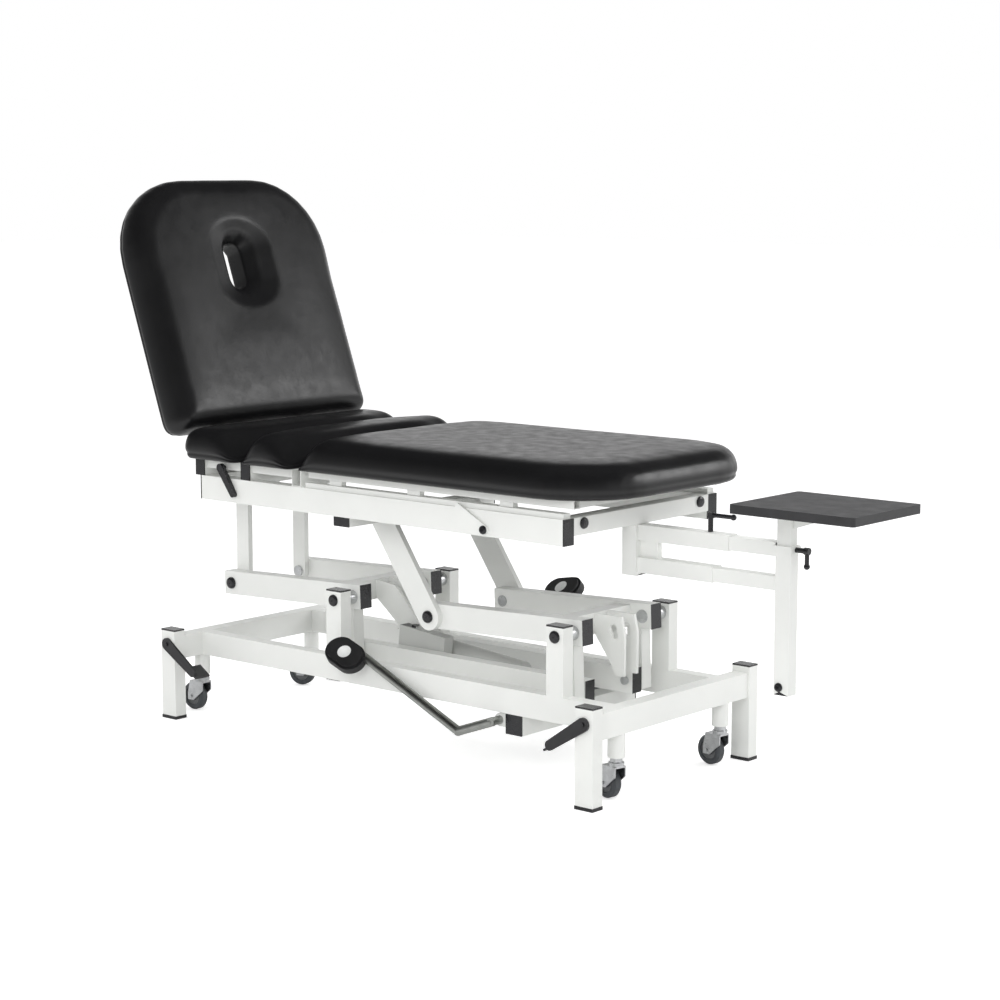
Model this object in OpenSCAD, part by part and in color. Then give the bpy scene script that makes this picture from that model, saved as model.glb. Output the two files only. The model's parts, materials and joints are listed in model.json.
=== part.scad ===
/* [Base frame] */
// Distance from the middle of the table to the middle of a leg, along the table
leg_x = 681; // [640:1:720]
// Distance from the middle of the table to the middle of a leg, across the table
leg_y = 300; // [290:1:320]
// Height of a leg tube above the floor, without its cap
leg_h = 229; // [222:1:240]
// Underside of the base rails above the floor
rail_z = 155; // [150:1:160]
// Distance from the middle of the table to a long base rail
side_y = 200; // [195:1:215]
// Wall of the frame tubes
wall = 2; // [1.5:0.5:2.5]

/* [Lift] */
// Height of the rocker pivots above the floor
pivot_z = 354; // [350:1:362]
// Place of the head rocker's pivot along the table
pivot_x = -184; // [-195:1:-175]
// Distance between the pivots of the two rockers
rocker_pitch = 700; // [690:1:710]
// Length of a lift arm from pivot to pivot
arm_len = 435; // [425:1:440]
// Slope of the lift arms as the table stands, with their hanging ends low
arm_tilt = 2; // [0:0.5:4]

/* [Table top] */
// Height of the underside of the upper side rails
top_z = 578; // [574:1:584]
// Width of the padded sections
pad_w = 650; // [630:5:670]
// Height of a seat pad over the upper frame
pad_h = 82; // [76:1:86]
// Length of the head section's pad
head_len = 660; // [620:5:690]
// Angle of the head section as the table stands
head_angle = 70.5; // [60:0.5:72]
// Length of the sliding section's pad
slide_len = 920; // [880:2:930]

/* [Traction platform] */
// Reach of the platform's post from the middle of the table
mast_x = 994; // [980:1:1010]
// Length of the platform's board along the table
board_len = 316; // [300:1:360]
// Width of the platform's board
board_w = 272; // [240:2:300]

/* [Castors] */
// Diameter of a castor wheel
wheel_d = 72; // [68:2:76]

/* [Hidden] */

$fn = 48;
eps = 0.01;
fit = 0.05;
gap = 0.4;
cap_t = 4;
plug = 8;
white = "whitesmoke";
black = "#1c1c1e";
steel = "silver";

// Sections of the tubes: post and leg, rail, arm
leg_a = 50;
leg_b = 35;
rail_h = 60;
rail_b = 35;
end_b = 40;
arm_b = 40;
arm_h = 60;
arm_y = 130;
pin_r = 10;

post_top = pivot_z + 22;
foot_pivot_x = pivot_x + rocker_pitch;
pivots = [pivot_x, foot_pivot_x];
rail_top = rail_z + rail_h;
foot_h = 8;

// Points that turn with a rocker, given beside its pivot
function turned(p, a) = [p[0] * cos(a) + p[1] * sin(a), -p[0] * sin(a) + p[1] * cos(a)];
hang = turned([-arm_len, 0], -arm_tilt);
hang_z = pivot_z + hang[1];
hang_x = [for (x = pivots) x + hang[0]];
crank_y = 127.5;
crank_pin = [-25, -150];
tie_drop = turned(crank_pin, -arm_tilt);
tie_z = pivot_z + tie_drop[1];
tie_y = 89.5;
ram_pin = [117, -131];
ram_tip = turned(ram_pin, -arm_tilt);
ram_tip_x = pivot_x + ram_tip[0];
ram_tip_z = pivot_z + ram_tip[1];

// Pump cross tube under the long base rails, and the ram's anchor on it
pump_x = 394;
pump_a = 48;
pump_h = 48;
anchor_z = 182;
ram_len = sqrt(pow(pump_x - ram_tip_x, 2) + pow(anchor_z - ram_tip_z, 2));
ram_slope = atan2(ram_tip_z - anchor_z, pump_x - ram_tip_x);

// Castors: stem places and the way each one trails
stem_y = side_y;
stem_r = 14;
sleeve_r = 20;
sleeve_z = 100;
shaft_z = 195;
shaft_r = 5.5;
cam_r = 12;
cam_offset = 5.5;
trail = 28;
axle_z = wheel_d / 2 + 1;
castor_places = [[leg_x, -stem_y], [leg_x, stem_y], [-leg_x, -stem_y], [-leg_x, stem_y]];
castor_turns = [168, 172, 182, 200];

// Upper frame
top_rail_y = 271.5;
top_x0 = -578;
top_x1 = 600;
top_rail_top = top_z + rail_h;
under_x = -105;
under_a = 50;
under_h = 27;
hanger_w = 44;
hanger_t = 15;
bearer_a = 31;
bearer_h = 44;
bearer_x = [-580, -416, -240];
board_z = top_rail_top + bearer_h;
board_t = 12;
pad_z = board_z + board_t;
board_inset = 22;
strut_w = 66;

// Sections of the padding along the table
pad_1 = [-600, -412];
pad_2 = [-408, -222];
slide_x0 = -216;
slide_x1 = slide_x0 + slide_len;
head_end = -636;
head_x1 = head_end - head_len;
hinge = [-622, board_z + 42];
head_w = 655;
head_h = 104;
head_slot = [175, 108];
head_slot_x = hinge[0] - 438;
face_bowl = 16;
face_flare = [1.35, 1.9];

// Gas strut, which stands on a lug at the head end of the upper frame
strut_foot = [-618, 589];
strut_arm = sqrt(pow(hinge[0] - strut_foot[0], 2) + pow(hinge[1] - strut_foot[1], 2));
strut_lug_drop = 66;
strut_lug = [hinge[0] - sqrt(pow(strut_arm, 2) - pow(strut_lug_drop, 2)), hinge[1] - strut_lug_drop];

module tube_x(x0, x1, y, z, wy, hz, t = wall) {
    difference() {
        translate([x0, y - wy / 2, z - hz / 2]) cube([x1 - x0, wy, hz]);
        translate([x0 - 1, y - wy / 2 + t, z - hz / 2 + t]) cube([x1 - x0 + 2, wy - 2 * t, hz - 2 * t]);
    }
}

module tube_y(y0, y1, x, z, wx, hz, t = wall) {
    difference() {
        translate([x - wx / 2, y0, z - hz / 2]) cube([wx, y1 - y0, hz]);
        translate([x - wx / 2 + t, y0 - 1, z - hz / 2 + t]) cube([wx - 2 * t, y1 - y0 + 2, hz - 2 * t]);
    }
}

module tube_z(z0, z1, x, y, wx, wy, t = wall) {
    difference() {
        translate([x - wx / 2, y - wy / 2, z0]) cube([wx, wy, z1 - z0]);
        translate([x - wx / 2 + t, y - wy / 2 + t, z0 - 1]) cube([wx - 2 * t, wy - 2 * t, z1 - z0 + 2]);
    }
}

// Cap for a tube end that faces +Z: a flange over the end and a plug inside
module cap(a, b, t = wall) {
    inner = 2 * t + 0.2;
    translate([-a / 2, -b / 2, 0]) cube([a, b, cap_t]);
    translate([-(a - inner) / 2, -(b - inner) / 2, -plug]) cube([a - inner, b - inner, plug + 1]);
}

module along_y(x, z) {
    translate([x, 0, z]) rotate([90, 0, 0]) children();
}

// Round bar along Y from y0 to y1
module bar_y(x, z, y0, y1, r) {
    translate([x, y0, z]) rotate([-90, 0, 0]) cylinder(h = y1 - y0, r = r);
}

module mirror_y() {
    children();
    mirror([0, 1, 0]) children();
}

// Flat outline, drawn as X and Z, as a plate between y0 and y1
module plate_xz(y0, y1) {
    translate([0, y1, 0]) rotate([90, 0, 0]) linear_extrude(height = y1 - y0) children();
}

// Outline round two circles, whose straight sides meet the circles a little inside their rims
tuck = 0.994;
module link(p, rp, q, rq) {
    d = sqrt(pow(q[0] - p[0], 2) + pow(q[1] - p[1], 2));
    a = atan2(q[1] - p[1], q[0] - p[0]);
    b = acos((rp - rq) / d);
    side = [cos(a + b), sin(a + b)];
    other = [cos(a - b), sin(a - b)];
    translate(p) circle(r = rp);
    translate(q) circle(r = rq);
    polygon([p + tuck * rp * side, q + tuck * rq * side, q + tuck * rq * other, p + tuck * rp * other]);
}

// Base frame

module base_legs() {
    color(white)
    for (sx = [-1, 1], sy = [-1, 1])
        difference() {
            tube_z(foot_h, leg_h, sx * leg_x, sy * leg_y, leg_a, leg_b);
            if (sy < 0)
                bar_y(sx * leg_x, shaft_z, -leg_y - leg_b, -leg_y + leg_b, shaft_r + fit);
        }
}

module base_end_rails() {
    color(white)
    for (sx = [-1, 1])
        difference() {
            tube_y(-leg_y + leg_b / 2, leg_y - leg_b / 2, sx * leg_x, rail_z + rail_h / 2, end_b, rail_h);
            for (sy = [-1, 1])
                translate([sx * leg_x, sy * stem_y, rail_z - 1]) cylinder(h = wall + 2, r = stem_r + fit);
        }
}

module base_side_rails() {
    color(white)
    difference() {
        for (sy = [-1, 1])
            tube_x(-leg_x + end_b / 2, leg_x - end_b / 2, sy * side_y, rail_z + rail_h / 2, rail_b, rail_h);
        bar_y(release_hub[0], release_hub[1], side_y - rail_b, side_y + rail_b, 8 + fit);
    }
}

module lift_posts() {
    color(white)
    for (x = pivots, sy = [-1, 1])
        difference() {
            tube_z(rail_top, post_top, x, sy * side_y, leg_a, leg_b);
            bar_y(x, pivot_z, sy * side_y - leg_b, sy * side_y + leg_b, pin_r + fit);
        }
}

module pump_cross_tube() {
    top = rail_z;
    end_y = side_y + rail_b / 2 - cap_t;
    color(white)
    difference() {
        union() {
            tube_y(-end_y, end_y, pump_x, top - pump_h / 2, pump_a, pump_h);
            for (sy = [-1, 1])
                plate_xz(sy * 24 - 4, sy * 24 + 4)
                    union() {
                        translate([pump_x, anchor_z]) circle(r = 18);
                        polygon([[pump_x - 24, top], [pump_x + 24, top], [pump_x + 18, anchor_z], [pump_x - 18, anchor_z]]);
                    }
            plate_xz(-end_y + 2, -end_y + 12) pedal_lug();
        }
        bar_y(pump_x, anchor_z, -40, 40, 8 + fit);
        bar_y(pedal_x, pedal_z, -end_y - 1, -end_y + 14, pedal_r + fit);
    }
    color(steel) {
        bar_y(pump_x, anchor_z, -32, 48, 8);
        bar_y(pump_x, anchor_z, 30, 48, 13);
    }
}

module leg_feet() {
    inner = 2 * wall + 0.2;
    color(black)
    for (sx = [-1, 1], sy = [-1, 1])
        translate([sx * leg_x, sy * leg_y, 0]) {
            translate([-leg_a / 2 - 1, -leg_b / 2 - 1, 0]) cube([leg_a + 2, leg_b + 2, foot_h]);
            translate([-(leg_a - inner) / 2, -(leg_b - inner) / 2, foot_h - 1]) cube([leg_a - inner, leg_b - inner, 13]);
        }
}

module base_caps() {
    end_y = side_y + rail_b / 2 - cap_t;
    color(black) {
        for (sx = [-1, 1], sy = [-1, 1]) translate([sx * leg_x, sy * leg_y, leg_h]) cap(leg_a, leg_b);
        for (x = pivots, sy = [-1, 1]) translate([x, sy * side_y, post_top]) cap(leg_a, leg_b);
        for (s = [-1, 1]) translate([pump_x, s * end_y, rail_z - pump_h / 2]) rotate([-s * 90, 0, 0]) cap(pump_a, pump_h);
    }
}

module castor_sleeves() {
    color(white)
    for (p = castor_places)
        translate([p[0], p[1], sleeve_z])
            difference() {
                cylinder(h = rail_z - sleeve_z, r = sleeve_r);
                translate([0, 0, -1]) cylinder(h = rail_z - sleeve_z + 2, r = stem_r + fit);
            }
}

// Rocker pins: a shank in each post, a spacer beside the arm, a washer behind it and a domed cap outside
module post_pins() {
    out = side_y + rail_b / 2;
    arm_out = arm_y + arm_b / 2;
    arm_in = arm_y - arm_b / 2;
    color(steel)
    for (x = pivots)
        mirror_y() {
            bar_y(x, pivot_z, arm_in - 2.4, out, pin_r);
            difference() {
                bar_y(x, pivot_z, arm_out + gap, side_y - rail_b / 2, 17);
                bar_y(x, pivot_z, arm_out, side_y, pin_r - 1);
            }
            bar_y(x, pivot_z, arm_in - 2.4, arm_in - gap, 16);
            translate([x, out, pivot_z]) rotate([-90, 0, 0]) dome_cap(14.5, 6);
        }
}

// Low domed cap on a bolt head, with its back face at z = 0
module dome_cap(r, h) {
    rotate_extrude() polygon([[0, 0], [r, 0], [r, h * 0.4], [r * 0.9, h * 0.75], [r * 0.65, h * 0.93], [0, h]]);
}

pump_body = [160, 56, 82];
pump_y = 144;
module hydraulic_pump() {
    x1 = pump_x - pump_a / 2 - 4;
    z0 = rail_z - pump_body[2] + 18;
    color("#6d7278") {
        difference() {
            union() {
                translate([x1 - pump_body[0], pump_y - pump_body[1] / 2, z0]) cube(pump_body);
                translate([x1 - pump_body[0] + 40, pump_y, z0 + pump_body[2] - 1]) cylinder(h = 12, r = 15);
                translate([x1 - 1, pump_y - 28, rail_z - pump_h + 4]) cube([5, pump_body[1], 40]);
            }
            bar_y(pedal_x, pedal_z, pump_y - pump_body[1] / 2 - 1, pump_y - 4, pedal_r + fit);
        }
    }
}

// Hose from the pump's side to the foot of the ram
hose_r = 6;
hose_points = [[300, 116, 150], [304, 100, 151], [314, 84, 155], [330, 68, 161], [350, 54, 168], [368, 44, 175],
    [382, 39, 180]];
function unit(v) = v / norm(v);
function hose_ring(i) =
    let (n = len(hose_points) - 1,
        a = hose_points[max(i - 1, 0)],
        b = hose_points[min(i + 1, n)],
        t = unit(b - a),
        u = unit(cross(t, [0, 0, 1])),
        w = cross(t, u))
    [for (k = [0:7]) hose_points[i] + hose_r * (cos(45 * k) * u + sin(45 * k) * w)];
module pump_hose() {
    n = len(hose_points);
    rings = [for (i = [0:n - 1]) each hose_ring(i)];
    sides = [for (i = [0:n - 2], k = [0:7])
        [8 * i + k, 8 * i + (k + 1) % 8, 8 * (i + 1) + (k + 1) % 8, 8 * (i + 1) + k]];
    color(black)
    polyhedron(points = rings, faces = concat(sides, [[for (k = [7:-1:0]) k]], [[for (k = [0:7]) 8 * (n - 1) + k]]));
}

// Castors

lever_len = 112;
lever_angle = 33;
lever_t = 6;
lever_tread = [42, 47, 5];
// Shaft through an end rail, with a foot lever at the near side and two cams that push the stems down
module castor_lever(sx) {
    out = leg_y + leg_b / 2;
    face = -out - gap - lever_t;
    tip = [-sx * lever_len * cos(lever_angle), -lever_len * sin(lever_angle)];
    translate([sx * leg_x, 0, shaft_z]) {
        color(steel) {
            bar_y(0, 0, face - 3, stem_y + 12, shaft_r);
            for (sy = [-1, 1]) bar_y(0, cam_offset, sy * stem_y - 10, sy * stem_y + 10, cam_r);
        }
        color(black) {
            plate_xz(face, -out - gap) link([0, 0], 16, tip, 12);
            translate([tip[0], face, tip[1]]) rotate([0, -sx * lever_angle, 0])
                translate([-lever_tread[0] / 2, 0, -lever_tread[2]]) cube(lever_tread);
        }
    }
}
module castor_lever_head() castor_lever(-1);
module castor_lever_foot() castor_lever(1);

stem_top = shaft_z + cam_offset - cam_r - 0.4;
collar_z = wheel_d + 10;
module castor_stems(sx) {
    color(steel)
    for (sy = [-1, 1])
        difference() {
            union() {
                translate([sx * leg_x, sy * stem_y, collar_z + 2]) cylinder(h = stem_top - collar_z - 2, r = stem_r);
                translate([sx * leg_x, sy * stem_y, collar_z + 2]) cylinder(h = 4.5, r = 18);
            }
            translate([sx * leg_x, sy * stem_y, collar_z]) cylinder(h = 22, r = 5 + fit);
        }
}
module castor_stems_head() castor_stems(-1);
module castor_stems_foot() castor_stems(1);

fork_in = 13.5;
module at_castor(i) {
    translate([castor_places[i][0], castor_places[i][1], 0]) rotate([0, 0, castor_turns[i]]) children();
}
// Fork of one castor: a crown that turns under the stem and two cheeks down to the axle
module castor_fork(i) {
    color(steel)
    at_castor(i) {
        difference() {
            union() {
                translate([0, 0, collar_z - 3]) cylinder(h = 4.5, r = 17);
                translate([-14, -fork_in - 3, collar_z - 6]) cube([trail + 18, 2 * fork_in + 6, 3.5]);
                translate([0, 0, collar_z]) cylinder(h = 16, r = 5);
                for (s = [-1, 1])
                    plate_xz(s * (fork_in + 1.5) - 1.5, s * (fork_in + 1.5) + 1.5)
                        polygon([[-14, collar_z - 3], [trail + 4, collar_z - 3], [trail + 11, axle_z + 8],
                            [trail + 11, axle_z - 9], [trail - 9, axle_z - 9], [-14, collar_z - 26]]);
            }
            translate([0, 0, collar_z - 8]) cylinder(h = 40, r = 2);
        }
        bar_y(trail, axle_z, -fork_in - 6, fork_in + 6, 4);
    }
}
module castor_fork_1() castor_fork(0);
module castor_fork_2() castor_fork(1);
module castor_fork_3() castor_fork(2);
module castor_fork_4() castor_fork(3);

// Wheel of one castor: a tyre on a moulded centre
module castor_wheel(i) {
    r = wheel_d / 2;
    at_castor(i)
        translate([trail, 0, axle_z]) rotate([90, 0, 0]) {
            color("#55585b")
            rotate_extrude()
                polygon([[r - 12, -12], [r - 4, -12], [r, -7], [r, 7], [r - 4, 12], [r - 12, 12]]);
            color("#8a8d90")
            rotate_extrude()
                polygon([[4 + fit, -12.5], [9, -12.5], [12, -6], [r - 15, -6], [r - 12, -10], [r - 12, 10],
                    [r - 15, 6], [12, 6], [9, 12.5], [4 + fit, 12.5]]);
        }
}
module castor_wheel_1() castor_wheel(0);
module castor_wheel_2() castor_wheel(1);
module castor_wheel_3() castor_wheel(2);
module castor_wheel_4() castor_wheel(3);

// Lift

module at_rocker(x) {
    translate([x, 0, pivot_z]) rotate([0, -arm_tilt, 0]) children();
}

arm_over = 22;
crank_a = 42;
crank_low = -172;
// Two lift arms with their hanging cranks, each with bushes for the pins and a cap on each open end
module arms(x) {
    color(white)
    at_rocker(x)
        for (s = [-1, 1]) {
            difference() {
                union() {
                    tube_x(-arm_len - arm_over, arm_over, s * arm_y, 0, arm_b, arm_h);
                    for (px = [-arm_len, 0]) bar_y(px, 0, s * arm_y - arm_b / 2, s * arm_y + arm_b / 2, 16);
                }
                for (px = [-arm_len, 0]) bar_y(px, 0, s * arm_y - arm_b, s * arm_y + arm_b, pin_r + fit);
            }
            difference() {
                union() {
                    tube_z(crank_low, -arm_h / 2, crank_pin[0], s * crank_y, crank_a, leg_b);
                    bar_y(crank_pin[0], crank_pin[1], s * crank_y - leg_b / 2, s * crank_y + leg_b / 2, 11);
                }
                bar_y(crank_pin[0], crank_pin[1], s * crank_y - leg_b, s * crank_y + leg_b, 6 + fit);
            }
        }
    color(black)
    at_rocker(x)
        for (s = [-1, 1]) {
            translate([arm_over, s * arm_y, 0]) rotate([0, 90, 0]) short_cap(arm_h, arm_b);
            translate([-arm_len - arm_over, s * arm_y, 0]) rotate([0, -90, 0]) short_cap(arm_h, arm_b);
            translate([crank_pin[0], s * crank_y, crank_low]) rotate([180, 0, 0]) short_cap(crank_a, leg_b);
        }
}

// Cap whose plug is shallow enough to stay clear of a bush
module short_cap(a, b) {
    inner = 2 * wall + 0.2;
    translate([-a / 2, -b / 2, 0]) cube([a, b, cap_t]);
    translate([-(a - inner) / 2, -(b - inner) / 2, -4]) cube([a - inner, b - inner, 5]);
}
module head_arms() arms(pivot_x);
module foot_arms() arms(foot_pivot_x);

shaft_x = -60;
shaft_a = 50;
// Cross tube between the two arms of a rocker
module rocker_tube() {
    tube_y(-arm_y + arm_b / 2, arm_y - arm_b / 2, shaft_x, 0, shaft_a, shaft_a);
}

// The lever's eye is a slot along the lever, since the ram's length and its turn don't keep one ratio
ram_slot = 16.5;
ram_play = 1.4;
slot_angle = -54.65;
slot_end = ram_pin + ram_slot * [cos(slot_angle), sin(slot_angle)];
module head_rocker_shaft() {
    face = shaft_x + shaft_a / 2;
    color(white)
    at_rocker(pivot_x) {
        rocker_tube();
        for (s = [-1, 1])
            difference() {
                plate_xz(s * 24 - 4, s * 24 + 4)
                    union() {
                        translate(slot_end) circle(r = 18);
                        polygon([[face, 24], [face + 66, 14], [ram_pin[0] + 24, ram_pin[1] + 20],
                            slot_end + [16, 8], slot_end + [-12, -13.4], [ram_pin[0] - 18, ram_pin[1] - 6], [face, -22]]);
                    }
                plate_xz(-40, 40) link(ram_pin, ram_pin_r + ram_play, slot_end, ram_pin_r + ram_play - 0.1);
            }
    }
}

module foot_rocker_shaft() {
    face = shaft_x + shaft_a / 2;
    color(white)
    at_rocker(foot_pivot_x) {
        rocker_tube();
        for (s = [-1, 1])
            plate_xz(s * 24 - 4, s * 24 + 4)
                difference() {
                    polygon([[face, 24], [44, 22], [52, -20], [48, -118], [24, -118], [12, -92], [face, -24]]);
                    translate([20, -8]) circle(r = 11);
                    translate([24, -22]) circle(r = 10);
                }
    }
}

module tie_bars() {
    color(white)
    for (s = [-1, 1])
        difference() {
            union() {
                tube_x(pivot_x + tie_drop[0] - 36, foot_pivot_x + tie_drop[0] + 17, s * tie_y, tie_z, rail_b, rail_h);
                for (x = pivots) bar_y(x + tie_drop[0], tie_z, s * tie_y - rail_b / 2, s * tie_y + rail_b / 2, 11);
            }
            for (x = pivots) bar_y(x + tie_drop[0], tie_z, s * tie_y - rail_b, s * tie_y + rail_b, 6 + fit);
        }
    color(black)
    for (s = [-1, 1]) {
        translate([foot_pivot_x + tie_drop[0] + 17, s * tie_y, tie_z]) rotate([0, 90, 0]) short_cap(rail_h, rail_b);
        translate([pivot_x + tie_drop[0] - 36, s * tie_y, tie_z]) rotate([0, -90, 0]) short_cap(rail_h, rail_b);
    }
}

// Pins that join the tie bars to the cranks, with a head at the inner side of each bar
module tie_pins() {
    in = tie_y - rail_b / 2;
    out = crank_y + leg_b / 2;
    color(steel)
    for (x = pivots)
        mirror_y() {
            bar_y(x + tie_drop[0], tie_z, in - 2, out + 5, 6);
            bar_y(x + tie_drop[0], tie_z, in - 7, in, 10);
            bar_y(x + tie_drop[0], tie_z, out + gap, out + 5, 9);
        }
}

// Ram: its own line runs from the anchor on the base toward the head rocker
module on_ram() {
    translate([pump_x, 0, anchor_z]) rotate([0, ram_slope, 0]) children();
}
ram_body = 268;
ram_r = 28;
ram_rod_r = 14;
ram_pin_r = 8;
// Body with its pin, and a valve block beside the near cheek of the head rocker
module ram_cylinder() {
    color("#d9dad6")
    on_ram()
        difference() {
            union() {
                bar_y(-ram_len, 0, -15, 15, 17);
                bar_y(-ram_len, 0, -32, 32, ram_pin_r);
                translate([-ram_len, -15, -14]) cube([42, 30, 28]);
                translate([-ram_len + 40, 0, 0]) rotate([0, 90, 0]) cylinder(h = ram_body, r = ram_r);
                translate([-ram_len + 40, -50, -20]) cube([44, 34, 40]);
                translate([-ram_len - 46, -66, -14]) cube([150, 32, 64]);
            }
            translate([-ram_len + 60, 0, 0]) rotate([0, 90, 0]) cylinder(h = ram_body, r = ram_rod_r + fit);
        }
    color(black)
    on_ram() translate([-ram_len - 8, -50, 49]) cylinder(h = 7, r = 9);
}

ram_rod_in = 92;
module ram_rod() {
    color(steel)
    on_ram()
        difference() {
            union() {
                bar_y(0, 0, -15, 15, 17);
                translate([-ram_len + 40 + ram_body - ram_rod_in, 0, 0]) rotate([0, 90, 0])
                    cylinder(h = ram_len - 40 - ram_body + ram_rod_in - 10, r = ram_rod_r);
            }
            bar_y(0, 0, -20, 20, 8 + fit);
        }
}

// Pump pedal: a cross shaft, a bent lever outside the near base rail and a rubber tread
pedal_x = 348;
pedal_z = 136;
pedal_r = 10;
lever_y = -236;
tread = [-105, 236];
bend = [240, 96];
module pedal_lug() {
    union() {
        translate([pedal_x, pedal_z]) circle(r = 16);
        translate([pedal_x, pedal_z - 16]) square([pump_x - pump_a / 2 - pedal_x, 32]);
    }
}

// Round lever tube between two points of a plane along X and Z
module lever_leg(p, q, y, r) {
    d = [q[0] - p[0], 0, q[1] - p[1]];
    translate([p[0], y, p[1]]) rotate([0, atan2(d[0], d[2]), 0]) cylinder(h = norm(d), r = r);
}

module pump_pedal() {
    color(steel) bar_y(pedal_x, pedal_z, lever_y - 10, pump_y - 8, pedal_r);
    color("#a8aaa6") {
        lever_leg([pedal_x, pedal_z], bend, lever_y, 11);
        translate([bend[0], lever_y, bend[1]]) sphere(r = 11.6);
        lever_leg(bend, [tread[0] + 20, tread[1] + 6], lever_y, 11);
    }
    color(black) pedal_tread(tread, lever_y - 22, -21);
}

// Oval rubber tread, stepped in at its top and tipped toward the near side
tread_size = [112, 74];
tread_h = 26;
tread_lean = 40;
module pedal_tread(p, y, tip) {
    translate([p[0], y, p[1]]) rotate([0, -tip, 0]) rotate([tread_lean, 0, 0]) {
        translate([0, 0, -tread_h / 2]) linear_extrude(height = tread_h - 7) slot_outline(tread_size[0], tread_size[1]);
        translate([0, 0, tread_h / 2 - 7.5])
            linear_extrude(height = 7.5) slot_outline(tread_size[0] - 12, tread_size[1] - 12);
    }
}

release_hub = [176, 185];
release_tread = [146, 352];
release_y = 262;
module release_pedal() {
    out = side_y + rail_b / 2;
    color(steel) {
        bar_y(release_hub[0], release_hub[1], side_y - rail_b / 2 - 6, release_y + 10, 8);
        bar_y(release_hub[0], release_hub[1], out + gap, out + 8, 13);
        bar_y(release_hub[0], release_hub[1], side_y - rail_b / 2 - 6, side_y - rail_b / 2 - gap, 12);
    }
    color("#a8aaa6") lever_leg(release_hub, release_tread, release_y, 10);
    color(black) pedal_tread(release_tread, release_y + 8, 10);
}

// Upper frame

module top_side_rails() {
    color(white)
    for (s = [-1, 1]) {
        tube_x(top_x0 + cap_t, top_x1 - cap_t, s * top_rail_y, top_z + rail_h / 2, rail_b, rail_h);
        translate([slide_x0 + 6, s * top_rail_y - 12, top_rail_top]) cube([top_x1 - slide_x0 - 12, 24, 12]);
    }
}

cross_a = 40;
rail_in = top_rail_y - rail_b / 2;
head_cross_x = hang_x[0] + hanger_w / 2 + cross_a / 2;
foot_cross_x = top_x1 - cross_a / 2;
module top_cross_tubes() {
    color(white) {
        tube_y(-rail_in, rail_in, foot_cross_x, top_rail_top - cross_a / 2, cross_a, cross_a);
        tube_y(-rail_in, rail_in, head_cross_x, top_rail_top - cross_a / 2, cross_a, cross_a);
        tube_y(-top_rail_y + 6, top_rail_y - 6, under_x, top_z - under_h / 2, under_a, under_h);
    }
}

bearer_y = top_rail_y + rail_b / 2 - cap_t;
side_tube_y = bearer_y - 16;
module pad_bearers() {
    z = top_rail_top + bearer_h / 2;
    color(white) {
        for (x = bearer_x) tube_y(-bearer_y, bearer_y, x, z, bearer_a, bearer_h);
        difference() {
            for (s = [-1, 1], i = [0, 1])
                tube_x(bearer_x[i] + bearer_a / 2 + gap, bearer_x[i + 1] - bearer_a / 2 - gap,
                    s * side_tube_y, board_z - 12, 24, 24);
            bar_y(release_pin[0], release_pin[1], -side_tube_y - 13, -side_tube_y - 9, 4 + fit);
        }
    }
}

ear_y = 154;
ear_t = 8;
ear_r = 12;
// Ears that carry the head section's hinge pins, and the lug that the gas strut stands on
module head_hinge_ears() {
    face = bearer_x[0] - bearer_a / 2;
    color(white) {
        for (s = [-1, 1])
            plate_xz(s * ear_y - ear_t / 2, s * ear_y + ear_t / 2)
                union() {
                    translate(hinge) circle(r = ear_r);
                    polygon([[hinge[0] - ear_r, hinge[1]], [hinge[0] + ear_r, hinge[1]],
                        [hinge[0] + ear_r, board_z + 6], [face, board_z - 4], [face, top_rail_top + 2],
                        [face - 14, top_rail_top + 2], [hinge[0] - ear_r, board_z]]);
                }
        plate_xz(-6, 6)
            difference() {
                union() {
                    translate(strut_foot) circle(r = 10);
                    translate([strut_foot[0], strut_foot[1] - 10]) square([head_cross_x - cross_a / 2 - strut_foot[0], 20]);
                }
                translate(strut_foot) circle(r = 4 + fit);
            }
    }
    color(steel) {
        for (s = [-1, 1]) bar_y(hinge[0], hinge[1], s * ear_y - 18, s * ear_y + 18, 6);
        bar_y(strut_foot[0], strut_foot[1], -16, 16, 4);
    }
}

module hanger_posts() {
    y0 = arm_y - arm_b / 2 - gap - hanger_t;
    color(white)
    mirror_y()
        difference() {
            plate_xz(y0, y0 + hanger_t)
                union() {
                    translate([hang_x[0], hang_z]) circle(r = hanger_w / 2);
                    translate([hang_x[0] - hanger_w / 2, hang_z]) square([hanger_w, top_rail_top - hang_z]);
                }
            bar_y(hang_x[0], hang_z, y0 - 1, y0 + hanger_t + 1, pin_r + fit);
        }
}

strut_dir = [-0.565, 0.825];
strut_side = [0.825, 0.565];
// Point on a strut's edge at height z, on side s of its middle line
function strut_edge(z, s) =
    let (e = s * strut_w / 2 * strut_side, t = (z - hang_z - e[1]) / strut_dir[1])
    [hang_x[1] + e[0] + t * strut_dir[0], z];
module hanger_struts() {
    y0 = arm_y + arm_b / 2 + gap;
    low = top_z - under_h;
    face = under_x + under_a / 2;
    foot = [hang_x[1], hang_z];
    color(white)
    mirror_y()
        difference() {
            plate_xz(y0, y0 + hanger_t)
                union() {
                    translate(foot) circle(r = strut_w / 2);
                    polygon([foot - strut_w / 2 * strut_side, strut_edge(low, -1), [face, low], [face, top_z],
                        strut_edge(top_z, 1), foot + strut_w / 2 * strut_side]);
                }
            bar_y(hang_x[1], hang_z, y0 - 1, y0 + hanger_t + 1, pin_r + fit);
        }
}

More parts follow.
